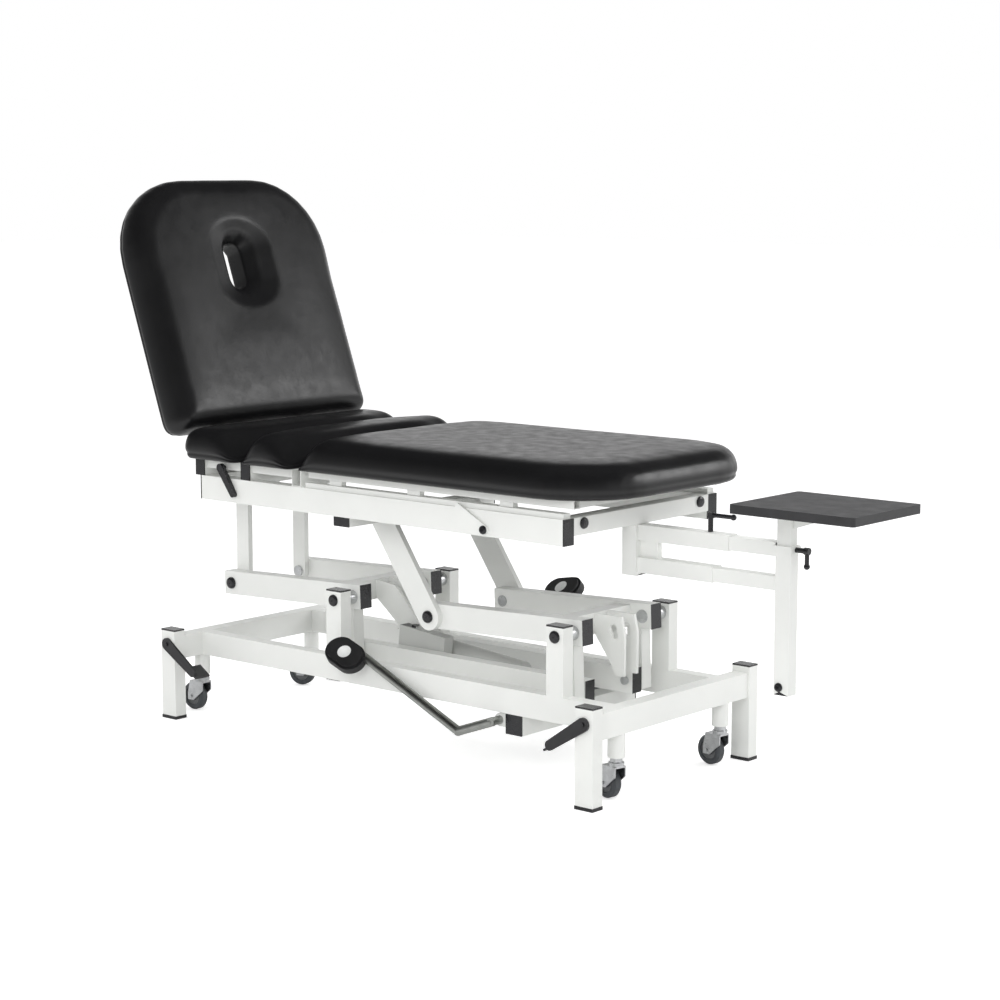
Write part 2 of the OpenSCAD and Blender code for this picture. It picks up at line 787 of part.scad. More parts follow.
module top_caps() {
    color(black) {
        for (s = [-1, 1]) {
            translate([top_x1 - cap_t, s * top_rail_y, top_z + rail_h / 2]) rotate([0, 90, 0]) cap(rail_h, rail_b);
            translate([top_x0 + cap_t, s * top_rail_y, top_z + rail_h / 2]) rotate([0, -90, 0]) cap(rail_h, rail_b);
            for (i = [0, 1])
                translate([bearer_x[i], s * bearer_y, top_rail_top + bearer_h / 2]) rotate([-s * 90, 0, 0])
                    cap(bearer_a, bearer_h);
            translate([under_x, s * (top_rail_y - 6), top_z - under_h / 2]) rotate([-s * 90, 0, 0])
                cap(under_a, under_h);
        }
    }
}

// Pins of the hangers, with domed caps, and the two cap bolts on the foot cross tube
module top_bolts() {
    in = arm_y - arm_b / 2;
    out = arm_y + arm_b / 2;
    color(steel)
    mirror_y() {
        bar_y(hang_x[0], hang_z, in - gap - hanger_t - 1, out + 6, pin_r);
        bar_y(hang_x[0], hang_z, in - gap - hanger_t - 6, in - gap - hanger_t, 14);
        translate([hang_x[0], out + gap, hang_z]) rotate([-90, 0, 0]) dome_cap(15, 8);
        bar_y(hang_x[1], hang_z, in - 2.4, out + gap + hanger_t + 1, pin_r);
        bar_y(hang_x[1], hang_z, in - 2.4, in - gap, 14);
        translate([hang_x[1], out + gap + hanger_t, hang_z]) rotate([-90, 0, 0]) dome_cap(15, 8);
        translate([top_x1, rail_in - 34, top_rail_top - 14]) rotate([0, 90, 0]) dome_cap(13, 7);
    }
}

// Padding: layers that draw in at the bottom, bulge at mid height and crown at the top
layers = [[0, 10], [0.08, 5], [0.25, 0.5], [0.42, 0], [0.6, 2.5], [0.75, 8], [0.88, 18], [0.96, 30], [1, 44]];
// Outline of a pad with its own corner radius at each end, drawn in by d
function arc(c, r, a0, a1, n) =
    [for (i = [0:n]) c + r * [cos(a0 + (a1 - a0) * i / n), sin(a0 + (a1 - a0) * i / n)]];
function pad_outline(x0, x1, w, r0, r1, d, n) =
    let (a = x0 + d, b = x1 - d, h = w / 2 - d, p = max(r0 - d, 4), q = max(r1 - d, 4))
    concat(arc([b - q, h - q], q, 90, 0, n), arc([b - q, -h + q], q, 0, -90, n),
        arc([a + p, -h + p], p, -90, -180, n), arc([a + p, h - p], p, 180, 90, n));

// Board under a pad: the pad's own outline, drawn in by the thickness of padding round its rim
module board(x0, x1, w, r0, r1, inset = board_inset) {
    translate([0, 0, board_z]) linear_extrude(height = board_t) polygon(pad_outline(x0, x1, w, r0, r1, inset, 8));
}

// Padding of one section, which wraps its board round the rim
module padding(x0, x1, w, r0, r1, h, n = 6) {
    rows = [for (l = layers) [for (p = pad_outline(x0, x1, w, r0, r1, l[1], n)) [p[0], p[1], board_z + l[0] * h]]];
    m = len(rows[0]);
    last = len(layers) - 1;
    pts = [for (r = rows) each r];
    sides = [for (i = [0:last - 1], k = [0:m - 1])
        [i * m + k, i * m + (k + 1) % m, (i + 1) * m + (k + 1) % m, (i + 1) * m + k]];
    bottom = [for (k = [m - 1:-1:0]) k];
    top = [for (k = [0:m - 1]) last * m + k];
    difference() {
        polyhedron(points = pts, faces = concat([bottom], sides, [top]));
        board(x0, x1, w, r0, r1, board_inset - gap);
        translate([0, 0, -1]) board(x0, x1, w, r0, r1, board_inset - gap);
    }
}

seat_r = 26;
module seat_boards() {
    color("#3a3330") {
        board(pad_1[0], pad_1[1], pad_w, seat_r, seat_r);
        board(pad_2[0], pad_2[1], pad_w, seat_r, seat_r);
    }
}

module seat_pad_1() {
    color(black) padding(pad_1[0], pad_1[1], pad_w, seat_r, seat_r, pad_h);
}
module seat_pad_2() {
    color(black) padding(pad_2[0], pad_2[1], pad_w, seat_r, seat_r, pad_h);
}

foot_r = 180;
// Sliding section: side bars, cross bars and glides that ride on the tracks
slide_bars = [slide_x0 + 28, 220, 600];
glides = [-112, 141, 425];
module slide_frame() {
    z = board_z - 10;
    glide_z = top_rail_top + 12 + gap;
    color("#c9cccb") {
        for (s = [-1, 1]) {
            tube_x(slide_x0 + 13, 620, s * (top_rail_y - 4), z, 25, 20);
            for (x = glides)
                translate([x - 20, s * top_rail_y - 8, glide_z]) cube([40, 16, z - 10 - gap - glide_z]);
        }
        for (x = slide_bars) tube_y(-top_rail_y + 16.5 + gap, top_rail_y - 16.5 - gap, x, z, 30, 20);
    }
}
module slide_board() {
    color("#3a3330") board(slide_x0, slide_x1, pad_w, seat_r, foot_r);
}
module slide_pad() {
    color(black) padding(slide_x0, slide_x1, pad_w, seat_r, foot_r, pad_h, 8);
}

lock_pin = [370, 594];
lock_tip = [292, 640];
module slide_lock_lever() {
    y = -top_rail_y - rail_b / 2;
    color(white)
    difference() {
        plate_xz(y - 7, y - gap) link(lock_pin, 11, lock_tip, 7);
        bar_y(lock_pin[0], lock_pin[1], y - 8, y, 4);
    }
    color(black) {
        translate([lock_pin[0], y - 7, lock_pin[1]]) rotate([90, 0, 0]) dome_cap(10, 6);
        bar_y(lock_pin[0], lock_pin[1], y - 7, y - gap, 4);
    }
}

// Head section, drawn flat and turned up about its hinge

module at_head() {
    translate([hinge[0], 0, hinge[1]]) rotate([0, head_angle, 0]) translate([-hinge[0], 0, -hinge[1]]) children();
}

head_bar_y = ear_y + 12;
lug_tube_x = -784;
module head_frame() {
    z = board_z - 12;
    x0 = head_end - 24;
    x1 = head_x1 + 101;
    color(white)
    at_head() {
        for (s = [-1, 1]) {
            tube_x(x1, x0, s * (head_bar_y + 16), z, 24, 24);
            difference() {
                plate_xz(s * head_bar_y - 4, s * head_bar_y + 4)
                    union() {
                        translate(hinge) circle(r = ear_r);
                        polygon([[hinge[0] - ear_r, hinge[1]], [hinge[0] + ear_r, hinge[1]],
                            [hinge[0] + ear_r, board_z + 4], [head_end + 6, board_z - 24],
                            [head_end - 84, board_z - 24], [head_end - 84, board_z], [hinge[0] - ear_r, board_z]]);
                    }
                bar_y(hinge[0], hinge[1], s * head_bar_y - 5, s * head_bar_y + 5, 6 + fit);
            }
        }
        for (x = [lug_tube_x, x1 + 15])
            tube_y(-head_bar_y - 4 + (x < -900 ? 0 : 8), head_bar_y + 4 - (x < -900 ? 0 : 8), x, z, 30, 24);
    }
    color(white)
    at_head()
        for (s = [-1, 1])
            difference() {
                plate_xz(s * 13 - 3, s * 13 + 3) link(strut_lug, 9, [lug_tube_x + 18, z], 11);
                bar_y(strut_lug[0], strut_lug[1], -20, 20, 3.5);
            }
    color(steel) at_head() bar_y(strut_lug[0], strut_lug[1], -16, 16, 3.5);
}

// Outline with round ends for the face opening
module slot_outline(a, b) {
    translate([0, 0]) square([a - b, b], center = true);
    for (s = [-1, 1]) translate([s * (a - b) / 2, 0]) circle(r = b / 2);
}

head_r = 205;
head_seam_r = 34;
module head_board() {
    color("#3a3330")
    at_head()
        difference() {
            board(head_x1, head_end, head_w, head_r, head_seam_r);
            translate([head_slot_x, 0, board_z - 1])
                linear_extrude(height = board_t + 2) slot_outline(head_slot[0] + 10, head_slot[1] + 10);
        }
}

// Head pad, whose face opening flares into a soft bowl at the top
module head_pad() {
    color(black)
    at_head()
        difference() {
            padding(head_x1, head_end, head_w, head_r, head_seam_r, head_h, 8);
            translate([head_slot_x, 0, pad_z - 1])
                linear_extrude(height = head_h) slot_outline(head_slot[0], head_slot[1]);
            translate([head_slot_x, 0, board_z + head_h - face_bowl])
                linear_extrude(height = face_bowl + eps, scale = face_flare) slot_outline(head_slot[0], head_slot[1]);
        }
}

// Gas strut, drawn along its own line from the foot to the lug as the table stands
strut_to = [hinge[0], hinge[1]] + turned(strut_lug - hinge, head_angle);
strut_len = norm(strut_to - strut_foot);
strut_turn = atan2(strut_to[0] - strut_foot[0], strut_to[1] - strut_foot[1]);
module on_strut() {
    translate([strut_foot[0], 0, strut_foot[1]]) rotate([0, strut_turn, 0]) children();
}
strut_body = 129;
strut_closed = 14;
module gas_strut_cylinder() {
    color(black)
    on_strut()
        difference() {
            union() {
                for (s = [-1, 1]) {
                    plate_xz(s * 9.5 - 2.5, s * 9.5 + 2.5) union() {
                        circle(r = 8);
                        translate([-8, 0]) square([16, 12]);
                    }
                }
                translate([0, 0, 10]) cylinder(h = strut_body - 10, r = 10);
            }
            bar_y(0, 0, -14, 14, 4 + fit);
            translate([0, 0, strut_closed - 1]) cylinder(h = strut_body, r = 4.5 + fit);
        }
}
// The rod's eye is a slot, since the strut's length and its turn don't keep one ratio
strut_flat = norm(strut_lug - strut_foot);
strut_slot = 10;
module gas_strut_rod() {
    inner = strut_closed + strut_len - strut_flat;
    color(steel)
    on_strut()
        difference() {
            union() {
                translate([0, 0, inner]) cylinder(h = strut_len - inner - 5, r = 4.5);
                plate_xz(-7, 7) link([0, strut_len], 7.2, [0, strut_len + strut_slot], 7.1);
            }
            plate_xz(-8, 8) link([0, strut_len], 4.1, [0, strut_len + strut_slot], 4);
        }
}

release_pin = [-496, 664];
release_tip = [-452, 600];
module head_release_lever() {
    y = -bearer_y - cap_t;
    color(black) {
        plate_xz(y - 12, y - gap) link(release_pin, 10, release_tip, 7);
        bar_y(release_pin[0], release_pin[1], y - gap - 1, -side_tube_y - 10.5, 4);
    }
}

// Traction platform

sleeve_a = 36;
upper_z = 583;
lower_z = 503;
bracket_x = 578;
bracket_b = 50;
bracket_low = 482;
sleeve_x0 = bracket_x + 20;
sleeve_ends = [850, 808];
module platform_bracket() {
    color(white) {
        tube_z(bracket_low, top_rail_top - cross_a, bracket_x, 0, 40, bracket_b);
        tube_x(sleeve_x0, sleeve_ends[0], 0, upper_z - 4, sleeve_a, sleeve_a);
        tube_x(sleeve_x0, sleeve_ends[1], 0, lower_z, sleeve_a, sleeve_a);
        plate_xz(-8, 8) polygon([[sleeve_x0, lower_z + sleeve_a / 2], [sleeve_x0 + 50, lower_z + sleeve_a / 2],
            [sleeve_x0 + 50, upper_z - 4 - sleeve_a / 2], [sleeve_x0, upper_z - 4 - sleeve_a / 2]]);
    }
    color(black) translate([bracket_x, 0, bracket_low]) rotate([180, 0, 0]) cap(40, bracket_b);
}

inner_a = sleeve_a - 2 * wall - 0.4;
mast_a = 40;
mast_b = 30;
mast_low = 258;
mast_top = 588;
carriage_x0 = 640;
module platform_carriage() {
    color(white) {
        for (z = [upper_z - 4, lower_z]) tube_x(carriage_x0, mast_x - mast_a / 2, 0, z, inner_a, inner_a);
        tube_z(mast_low, mast_top, mast_x, 0, mast_a, mast_b);
        difference() {
            translate([mast_x - mast_a / 2 - 4, -mast_b / 2 - 4, mast_top - 15]) cube([mast_a + 8, mast_b + 8, 15]);
            translate([mast_x - mast_a / 2, -mast_b / 2, mast_top - 16]) cube([mast_a, mast_b, 17]);
        }
    }
    color(black) {
        translate([mast_x, 0, mast_low]) rotate([180, 0, 0]) cap(mast_a, mast_b);
        translate([mast_x - 6, -mast_b / 2, mast_low + 14]) rotate([90, 0, 0]) dome_cap(10, 6);
    }
}

platform_z = 670;
module platform_mast() {
    a = mast_a - 2 * wall - 0.4;
    b = mast_b - 2 * wall - 0.4;
    color(white) {
        tube_z(330, platform_z - 6, mast_x, 0, a, b);
        translate([mast_x - 40, -50, platform_z - 6]) cube([230, 100, 6]);
        plate_xz(-3, 3) polygon([[mast_x + a / 2, platform_z - 6], [mast_x + 130, platform_z - 6],
            [mast_x + a / 2, platform_z - 44]]);
    }
}
board_y = -12;
board_r = 8;
module platform_board() {
    color("#2b2b2d")
    translate([mast_x - 54, board_y, platform_z])
        linear_extrude(height = 20)
            union() {
                translate([0, -board_w / 2 + board_r]) square([board_len, board_w - 2 * board_r]);
                translate([board_r, -board_w / 2]) square([board_len - 2 * board_r, board_w]);
                for (x = [board_r, board_len - board_r], y = [-1, 1])
                    translate([x, y * (board_w / 2 - board_r)]) circle(r = board_r);
            }
}

// Clamp screw with a bent handle, drawn along +Z from its seat
module clamp(reach, arm) {
    cylinder(h = reach, r = 6);
    translate([0, 0, reach - 2]) cylinder(h = 12, r = 8);
    translate([0, 0, reach + 4]) rotate([0, 90, 0]) cylinder(h = arm, r = 5);
    translate([arm, 0, reach + 4]) sphere(r = 7);
}
clamp_at = [789, 0, upper_z - 4 + sleeve_a / 2 + gap];
module carriage_clamp_lever() {
    color(black) translate(clamp_at) clamp(34, 62);
}
module mast_clamp_lever() {
    color(black)
    translate([mast_x + mast_a / 2 + 4 + gap, 0, mast_top - 8]) rotate([0, 90, 0]) clamp(24, 34);
}

base_legs();
base_end_rails();
base_side_rails();
lift_posts();
pump_cross_tube();
leg_feet();
base_caps();
castor_sleeves();
post_pins();
hydraulic_pump();
pump_hose();
castor_lever_head();
castor_lever_foot();
castor_stems_head();
castor_stems_foot();
castor_fork_1();
castor_fork_2();
castor_fork_3();
castor_fork_4();
castor_wheel_1();
castor_wheel_2();
castor_wheel_3();
castor_wheel_4();
head_arms();
head_rocker_shaft();
foot_arms();
foot_rocker_shaft();
tie_bars();
tie_pins();
ram_cylinder();
ram_rod();
pump_pedal();
release_pedal();
top_side_rails();
top_cross_tubes();
pad_bearers();
head_hinge_ears();
hanger_posts();
hanger_struts();
top_caps();
top_bolts();
seat_boards();
seat_pad_1();
seat_pad_2();
slide_frame();
slide_board();
slide_pad();
slide_lock_lever();
head_frame();
head_board();
head_pad();
gas_strut_cylinder();
gas_strut_rod();
head_release_lever();
platform_bracket();
platform_carriage();
platform_mast();
platform_board();
carriage_clamp_lever();
mast_clamp_lever();
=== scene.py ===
"""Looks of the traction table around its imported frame: padding, finishes, pedals and small fittings."""
import json
import math

import bmesh
import bpy
import numpy as np
from mathutils import Matrix, Vector


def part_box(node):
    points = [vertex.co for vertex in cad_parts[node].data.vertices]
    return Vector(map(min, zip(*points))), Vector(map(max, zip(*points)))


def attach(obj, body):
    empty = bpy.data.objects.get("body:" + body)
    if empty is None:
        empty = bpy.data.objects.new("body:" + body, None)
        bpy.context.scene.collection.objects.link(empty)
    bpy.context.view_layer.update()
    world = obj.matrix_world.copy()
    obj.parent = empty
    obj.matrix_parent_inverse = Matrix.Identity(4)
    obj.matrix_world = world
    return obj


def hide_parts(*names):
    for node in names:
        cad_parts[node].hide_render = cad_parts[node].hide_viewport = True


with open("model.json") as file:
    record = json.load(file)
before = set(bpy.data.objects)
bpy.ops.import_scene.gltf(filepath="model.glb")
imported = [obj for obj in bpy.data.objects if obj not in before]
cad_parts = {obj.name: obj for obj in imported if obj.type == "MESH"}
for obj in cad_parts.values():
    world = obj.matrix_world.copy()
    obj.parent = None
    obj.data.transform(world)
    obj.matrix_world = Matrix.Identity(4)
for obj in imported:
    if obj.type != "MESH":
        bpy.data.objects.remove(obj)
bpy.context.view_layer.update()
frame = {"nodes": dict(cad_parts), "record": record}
nodes = frame["nodes"]
MM = 0.001

# Camera: place, heading, downward pitch and lens, which give the photograph's view
CAMERA_PLACE = (3.8765, -4.3380, 1.4233)
CAMERA_HEADING = 40.533
CAMERA_PITCH = 8.093
CAMERA_LENS = 86.1


def make_camera():
    data = bpy.data.cameras.new("camera")
    data.lens = CAMERA_LENS
    data.sensor_width = 36.0
    camera = bpy.data.objects.new("camera", data)
    camera.location = CAMERA_PLACE
    camera.rotation_euler = (math.radians(90 - CAMERA_PITCH), 0, math.radians(CAMERA_HEADING))
    bpy.context.scene.collection.objects.link(camera)
    bpy.context.scene.camera = camera


make_camera()


# Materials

def new_material(name):
    """A material with its tree, its shader and a coordinate in the object's own metres."""
    material = bpy.data.materials.new(name)
    material.use_nodes = True
    tree = material.node_tree
    shader = tree.nodes["Principled BSDF"]
    place = tree.nodes.new("ShaderNodeTexCoord").outputs["Object"]
    return material, tree, shader, place


def noise(tree, place, scale, detail=2.0, rough=0.5):
    node = tree.nodes.new("ShaderNodeTexNoise")
    node.inputs["Scale"].default_value = scale
    node.inputs["Detail"].default_value = detail
    node.inputs["Roughness"].default_value = rough
    tree.links.new(place, node.inputs["Vector"])
    return node.outputs["Fac"]


def ramp(tree, value, stops):
    """Colours or greys along a value: stops are (position, colour)."""
    node = tree.nodes.new("ShaderNodeValToRGB")
    elements = node.color_ramp.elements
    while len(elements) < len(stops):
        elements.new(0.5)
    for element, (position, colour) in zip(elements, stops):
        element.position = position
        element.color = (*colour, 1.0) if len(colour) == 3 else colour
    tree.links.new(value, node.inputs["Fac"])
    return node.outputs["Color"]


def ranged(tree, value, start, end, low, high):
    """Maps start to end onto low to high, and holds the ends."""
    node = tree.nodes.new("ShaderNodeMapRange")
    node.inputs["From Min"].default_value = start
    node.inputs["From Max"].default_value = end
    node.inputs["To Min"].default_value = low
    node.inputs["To Max"].default_value = high
    tree.links.new(value, node.inputs["Value"])
    return node.outputs["Result"]


def spread(tree, value, low, high):
    """Maps a noise's usual spread onto low to high."""
    return ranged(tree, value, 0.3, 0.7, low, high)


def bump(tree, shader, height, strength, distance, under=None):
    node = tree.nodes.new("ShaderNodeBump")
    node.inputs["Strength"].default_value = strength
    node.inputs["Distance"].default_value = distance
    tree.links.new(height, node.inputs["Height"])
    if under is not None:
        tree.links.new(under, node.inputs["Normal"])
    tree.links.new(node.outputs["Normal"], shader.inputs["Normal"])
    return node.outputs["Normal"]


def shade(colour, factor):
    return tuple(min(1.0, c * factor) for c in colour)


def painted(name, colour, rough=(0.3, 0.42), peel=0.05, variation=0.03):
    """Powder coat: slight orange peel, faint cloudiness, and dust in broad patches."""
    material, tree, shader, place = new_material(name)
    cloud = noise(tree, place, 7.0, 4.0)
    darker = shade(colour, 1 - variation)
    lighter = shade(colour, 1 + variation * 0.4)
    tint = ramp(tree, cloud, [(0.3, darker), (0.7, lighter)])
    tree.links.new(tint, shader.inputs["Base Color"])
    tree.links.new(spread(tree, noise(tree, place, 38.0, 3.0), *rough), shader.inputs["Roughness"])
    bump(tree, shader, noise(tree, place, 900.0, 2.0), peel, 0.0004)
    shader.inputs["Specular IOR Level"].default_value = 0.5
    return material


def plated(name, colour, rough=(0.24, 0.4), streak=(60.0, 60.0, 900.0)):
    """Zinc or ground steel: metallic, with fine streaks and cloudy patches."""
    material, tree, shader, place = new_material(name)
    shader.inputs["Metallic"].default_value = 1.0
    stretch = tree.nodes.new("ShaderNodeMapping")
    stretch.inputs["Scale"].default_value = streak
    tree.links.new(place, stretch.inputs["Vector"])
    lines = noise(tree, stretch.outputs["Vector"], 1.0, 3.0)
    cloud = noise(tree, place, 55.0, 4.0)
    tint = ramp(tree, cloud, [(0.3, shade(colour, 0.86)), (0.7, shade(colour, 1.05))])
    tree.links.new(tint, shader.inputs["Base Color"])
    tree.links.new(spread(tree, lines, *rough), shader.inputs["Roughness"])
    bump(tree, shader, lines, 0.05, 0.0003)
    return material


def moulded(name, colour, rough=(0.42, 0.55), grain=0.12, scale=1500.0):
    """Moulded plastic or rubber: spark-eroded grain and scuffed patches."""
    material, tree, shader, place = new_material(name)
    scuff = noise(tree, place, 26.0, 5.0, 0.6)
    tint = ramp(tree, scuff, [(0.35, shade(colour, 0.85)), (0.68, shade(colour, 1.25))])
    tree.links.new(tint, shader.inputs["Base Color"])
    tree.links.new(spread(tree, scuff, *rough), shader.inputs["Roughness"])
    bump(tree, shader, noise(tree, place, scale, 2.0), grain, 0.0004)
    return material


def vinyl(name, colour):
    """Upholstery vinyl: grain about a millimetre across, soft stretch ripples and a satin gloss."""
    material, tree, shader, place = new_material(name)
    warp = tree.nodes.new("ShaderNodeVectorMath")
    warp.operation = "MULTIPLY_ADD"
    drift = tree.nodes.new("ShaderNodeTexNoise")
    drift.inputs["Scale"].default_value = 240.0
    tree.links.new(place, drift.inputs["Vector"])
    tree.links.new(drift.outputs["Color"], warp.inputs[0])
    warp.inputs[1].default_value = (0.0012, 0.0012, 0.0012)
    tree.links.new(place, warp.inputs[2])
    cells = tree.nodes.new("ShaderNodeTexVoronoi")
    cells.feature = "SMOOTH_F1"
    cells.inputs["Scale"].default_value = 620.0
    cells.inputs["Smoothness"].default_value = 0.6
    tree.links.new(warp.outputs["Vector"], cells.inputs["Vector"])
    ripple = noise(tree, place, 16.0, 3.0)
    coarse = bump(tree, shader, ripple, 0.12, 0.004)
    bump(tree, shader, cells.outputs["Distance"], 0.22, 0.0006, coarse)
    wear = noise(tree, place, 5.0, 5.0)
    tint = ramp(tree, wear, [(0.32, shade(colour, 0.86)), (0.68, shade(colour, 1.16))])
    tree.links.new(tint, shader.inputs["Base Color"])
    tree.links.new(spread(tree, noise(tree, place, 30.0, 4.0), 0.28, 0.38), shader.inputs["Roughness"])
    shader.inputs["Specular IOR Level"].default_value = 0.4
    return material


def plywood(name, colour):
    """Dark sealed board: long grain and a little gloss."""
    material, tree, shader, place = new_material(name)
    stretch = tree.nodes.new("ShaderNodeMapping")
    stretch.inputs["Scale"].default_value = (4.0, 60.0, 60.0)
    tree.links.new(place, stretch.inputs["Vector"])
    grain = noise(tree, stretch.outputs["Vector"], 1.0, 6.0, 0.65)
    tint = ramp(tree, grain, [(0.3, shade(colour, 0.6)), (0.7, shade(colour, 1.5))])
    tree.links.new(tint, shader.inputs["Base Color"])
    tree.links.new(spread(tree, grain, 0.5, 0.7), shader.inputs["Roughness"])
    bump(tree, shader, grain, 0.2, 0.0004)
    return material


WHITE = painted("white_powder_coat", (0.86, 0.87, 0.845))
BLACK_PAINT = painted("black_powder_coat", (0.018, 0.018, 0.02), rough=(0.3, 0.45), variation=0.2)
CAP = moulded("black_caps", (0.014, 0.014, 0.016), rough=(0.2, 0.3), grain=0.05)
ZINC = plated("zinc", (0.60, 0.61, 0.62))
PUMP = painted("pump_enamel", (0.30, 0.31, 0.32), rough=(0.35, 0.5), variation=0.12)
RAM = painted("ram_paint", (0.60, 0.61, 0.59), rough=(0.3, 0.42), variation=0.06)
HOSE = moulded("hose_rubber", (0.014, 0.014, 0.014), rough=(0.5, 0.62))
TYRE = moulded("tyre_rubber", (0.055, 0.060, 0.066), rough=(0.42, 0.56), scale=900.0)
HUB = moulded("wheel_centre", (0.15, 0.155, 0.16), rough=(0.4, 0.5))
RUBBER = moulded("pedal_rubber", (0.016, 0.016, 0.017), rough=(0.45, 0.6), grain=0.25, scale=700.0)
LEVER = plated("lever_tube", (0.42, 0.43, 0.41), rough=(0.34, 0.5))
VINYL = vinyl("black_vinyl", (0.007, 0.007, 0.0075))
WOOD = plywood("sealed_board", (0.028, 0.024, 0.021))
LAMINATE = moulded("board_laminate", (0.03, 0.03, 0.032), rough=(0.4, 0.52), grain=0.3, scale=420.0)
STRUT = painted("strut_enamel", (0.012, 0.012, 0.013), rough=(0.16, 0.26), variation=0.2)
DISC = moulded("tread_disc", (0.72, 0.73, 0.72), rough=(0.3, 0.42), grain=0.05)

BY_SLOT = {
    "white_paint": WHITE,
    "black_cap": CAP,
    "castor_lever": BLACK_PAINT,
    "bright_steel": ZINC,
    "pump_paint": PUMP,
    "hose_rubber": HOSE,
    "ram_paint": RAM,
    "tyre_rubber": TYRE,
    "pedal_rubber": RUBBER,
    "board_wood": WOOD,
    "vinyl": VINYL,
    "platform_laminate": LAMINATE,
    "strut_black": STRUT,
}


def finish_nodes():
    """Each CAD node takes the finish of its slot in the record."""
    for part in frame["record"]["subparts"]:
        mesh = nodes[part["node"]].data
        mesh.materials.clear()
        mesh.materials.append(BY_SLOT[part["material_slot"]])


def paint_faces(name, material, test):
    """Faces of a CAD node whose centre passes the test take another finish."""
    mesh = nodes[name].data
    mesh.materials.append(material)
    slot = len(mesh.materials) - 1
    for face in mesh.polygons:
        if test(face.center):
            face.material_index = slot


# The pedals' treads, as CAD places them: centre, slope along the lever and lean toward the near side
TREAD_LEAN = 40
TREADS = {
    "pump_pedal": (Vector((-0.105, -0.258, 0.236)), -21),
    "release_pedal": (Vector((0.146, 0.270, 0.352)), 10),
}
TREAD_HALF = Vector((0.0565, 0.0375, 0.0135))


def tread_turn(tip):
    return Matrix.Rotation(math.radians(-tip), 3, "Y") @ Matrix.Rotation(math.radians(TREAD_LEAN), 3, "X")


def off_tread(pedal):
    """Test for the faces of a pedal that belong to its lever and shaft."""
    centre, tip = TREADS[pedal]
    back = tread_turn(tip).inverted()

    def test(point):
        local = back @ (point - centre)
        return any(abs(local[axis]) > TREAD_HALF[axis] for axis in range(3))

    return test


finish_nodes()

# Finishes that differ within one node: where each node's own faces end and its caps or other pieces begin
POST_FACE = 0.2180
STRUT_FACE = 0.1660
HANGER_FACE = 0.1505
HEAD_END_BOLTS = -0.5
FOOT_END_BOLTS = 0.55
LEG_FACE = 0.3177
LOCK_FACE = -0.2962
HUB_REACH = 0.0248
SHAFT_REACH = 0.03
CASTOR_SHAFTS = {
    "castor_lever_head": Vector((-0.681, 0, 0.195)),
    "castor_lever_foot": Vector((0.681, 0, 0.195)),
}
RAM_GLAND = 0.279
MAST_CAP = 0.259
MAST_BOLT = (0.30, -0.0152)
BRACKET_CAP = 0.4821
CAP_THICK = 0.0041
ARM_CAP = 0.006
CRANK_CAP = 0.005


def is_bolt_cap(c):
    """Caps of the bolts at the foot end, of the sloping hangers' pins and of the upright hangers' pins."""
    upright = c.x < HEAD_END_BOLTS and abs(c.y) > HANGER_FACE
    return c.x > FOOT_END_BOLTS or abs(c.y) > STRUT_FACE or upright


def is_mast_cap(c):
    """Cap under the platform's post, and the bolt just above it."""
    return c.z < MAST_CAP or (c.z < MAST_BOLT[0] and c.y < MAST_BOLT[1])


def near_axis(c, axis):
    return c.y > -LEG_FACE and math.hypot(c.x - axis.x, c.z - axis.z) < SHAFT_REACH


def is_rocker_cap(c, low, high):
    return c.x > high.x - ARM_CAP or c.x < low.x + ARM_CAP or c.z < low.z + CRANK_CAP


def finish_details():
    """Gives caps, hubs, shafts and levers inside a node their own finish."""
    paint_faces("post_pins", CAP, lambda c: abs(c.y) > POST_FACE)
    paint_faces("top_bolts", CAP, is_bolt_cap)
    for index in (1, 2, 3, 4):
        low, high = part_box(f"castor_wheel_{index}")
        middle = (low + high) / 2
        paint_faces(f"castor_wheel_{index}", HUB, lambda c: (c - middle).length < HUB_REACH)
    for lever, axis in CASTOR_SHAFTS.items():
        paint_faces(lever, ZINC, lambda c: near_axis(c, axis))
    for pedal in TREADS:
        paint_faces(pedal, LEVER, off_tread(pedal))
    paint_faces("slide_lock_lever", CAP, lambda c: c.y < LOCK_FACE)
    paint_faces("ram_cylinder", CAP, lambda c: c.z > RAM_GLAND)
    paint_faces("platform_carriage", CAP, is_mast_cap)
    paint_faces("platform_bracket", CAP, lambda c: c.z < BRACKET_CAP)
    for rocker in ("head_arms", "foot_arms"):
        low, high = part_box(rocker)
        paint_faces(rocker, CAP, lambda c: is_rocker_cap(c, low, high))
    low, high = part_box("tie_bars")
    paint_faces("tie_bars", CAP, lambda c: c.x > high.x - CAP_THICK or c.x < low.x + CAP_THICK)


finish_details()


# Edge radii of tubes, plates and pedals; corners flatter than the angle stay as they are
TUBE_EDGE = 1.6 * MM
PLATE_EDGE = 1.0 * MM
PEDAL_EDGE = 2.5 * MM
SHARP_ANGLE = 40
PEDAL_ANGLE = 50
FLAT_ANGLE = 0.5


def soften_edges(name, width, angle=SHARP_ANGLE):
    """Rounds a rigid node's sharp edges as a tube's corners and a casting's edges are."""
    merge = nodes[name].modifiers.new("merge", "DECIMATE")
    merge.decimate_type = "DISSOLVE"
    merge.delimit = {"MATERIAL"}
    merge.angle_limit = math.radians(FLAT_ANGLE)
    soft = nodes[name].modifiers.new("edges", "BEVEL")
    soft.width = width
    soft.segments = 2
    soft.limit_method = "ANGLE"
    soft.angle_limit = math.radians(angle)
    soft.harden_normals = True


